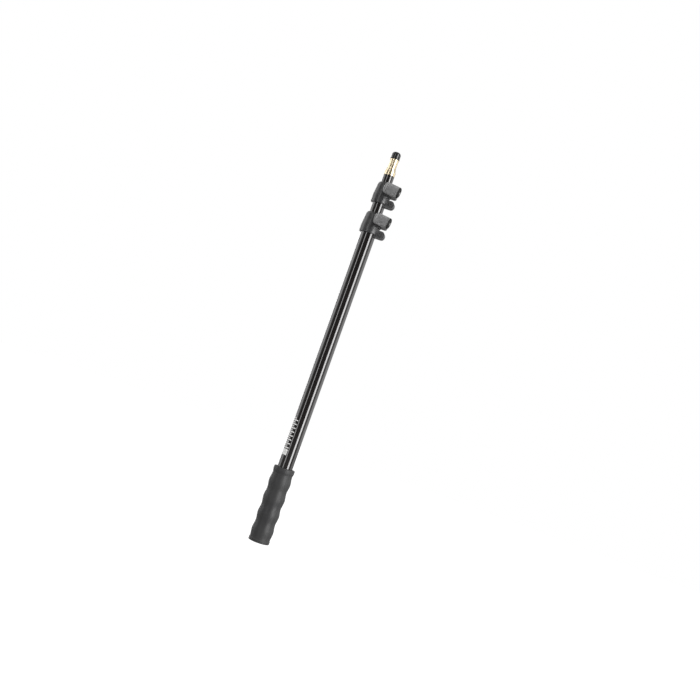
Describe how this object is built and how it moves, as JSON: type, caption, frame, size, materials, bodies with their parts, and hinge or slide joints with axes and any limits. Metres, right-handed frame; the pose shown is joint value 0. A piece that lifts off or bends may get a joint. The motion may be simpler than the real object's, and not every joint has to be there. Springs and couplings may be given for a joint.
{
  "type": "telescoping boom pole",
  "caption": "Hand-held telescoping boom pole, closed: ribbed rubber grip, gloss black tubes in sections, knob clamps, and a brass spigot with a cap on its thread.",
  "frame": {"origin": "centre of the flat end of the grip", "axes": "+Z along the pole from the grip to the spigot, +X towards the clamps' ears, -Y towards the clamps' knobs"},
  "size_m": [0.045, 0.0473, 0.5883],
  "materials": {
    "grip_rubber": "soft matt black rubber with a fine grain",
    "plug_plastic": "matt black moulding",
    "tube_black": "gloss black anodised",
    "collar_plastic": "fine spark-eroded grain, dark grey-black",
    "knob_plastic": "grey-black moulding with a cross-cut grip pattern",
    "bush_plastic": "natural nylon",
    "zinc_steel": "bright zinc plate",
    "black_steel": "black oxide, lightly worn",
    "brass": "pale turned brass",
    "cap_plastic": "gloss black"
  },
  "bodies": {
    "handle": {"grip_sleeve": "grip_rubber", "butt_plug": "plug_plastic", "outer_tube": "tube_black", "lower_collar": "collar_plastic", "lower_clamp_bush": "bush_plastic", "lower_clamp_bolt": "zinc_steel", "lower_pinch_screw": "black_steel", "lower_pinch_nut": "black_steel"},
    "lower_washer": {"lower_clamp_washer": "zinc_steel"},
    "lower_knob": {"lower_knob": "knob_plastic", "lower_knob_insert": "brass", "lower_knob_pin": "zinc_steel"},
    "middle_guide": {"middle_foot_bush": "bush_plastic"},
    "middle_section": {"middle_tube": "tube_black", "upper_collar": "collar_plastic", "upper_clamp_bush": "bush_plastic", "upper_clamp_bolt": "zinc_steel", "upper_pinch_screw": "black_steel", "upper_pinch_nut": "black_steel"},
    "upper_washer": {"upper_clamp_washer": "zinc_steel"},
    "upper_knob": {"upper_knob": "knob_plastic", "upper_knob_insert": "brass", "upper_knob_pin": "zinc_steel"},
    "inner_guide": {"inner_foot_bush": "bush_plastic"},
    "inner_section": {"inner_tube": "tube_black", "spigot": "brass", "spigot_pin": "zinc_steel", "tip_stud": "zinc_steel"},
    "tip_cap": {"tip_cap": "cap_plastic"}
  },
  "joints": [
    {"name": "lower_washer_slide", "type": "slide", "parent": "handle", "child": "lower_washer", "axis": [0, -1, 0], "range_m": [0, 0.0016]},
    {"name": "lower_knob_turn", "type": "hinge", "parent": "lower_washer", "child": "lower_knob", "pos_m": [0.0165, -0.0119, 0.484], "axis": [0, -1, 0], "range_deg": [0, 540]},
    {"name": "middle_slide", "type": "slide", "parent": "handle", "child": "middle_guide", "axis": [0, 0, 1], "range_m": [0, 0.395]},
    {"name": "middle_turn", "type": "hinge", "parent": "middle_guide", "child": "middle_section", "pos_m": [0, 0, 0.02], "axis": [0, 0, 1], "continuous": true},
    {"name": "upper_washer_slide", "type": "slide", "parent": "middle_section", "child": "upper_washer", "axis": [0, -1, 0], "range_m": [0, 0.0016]},
    {"name": "upper_knob_turn", "type": "hinge", "parent": "upper_washer", "child": "upper_knob", "pos_m": [0.015, -0.0119, 0.5295], "axis": [0, -1, 0], "range_deg": [0, 540]},
    {"name": "inner_slide", "type": "slide", "parent": "middle_section", "child": "inner_guide", "axis": [0, 0, 1], "range_m": [0, 0.425]},
    {"name": "inner_turn", "type": "hinge", "parent": "inner_guide", "child": "inner_section", "pos_m": [0, 0, 0.0355], "axis": [0, 0, 1], "continuous": true},
    {"name": "cap_slide", "type": "slide", "parent": "inner_section", "child": "tip_cap", "axis": [0, 0, 1], "range_m": [0, 0.012]}
  ],
  "couplings": [
    {"joint": "lower_washer_slide", "follows": "lower_knob_turn", "m_per_rad": 0.00015915},
    {"joint": "upper_washer_slide", "follows": "upper_knob_turn", "m_per_rad": 0.00015915}
  ]
}
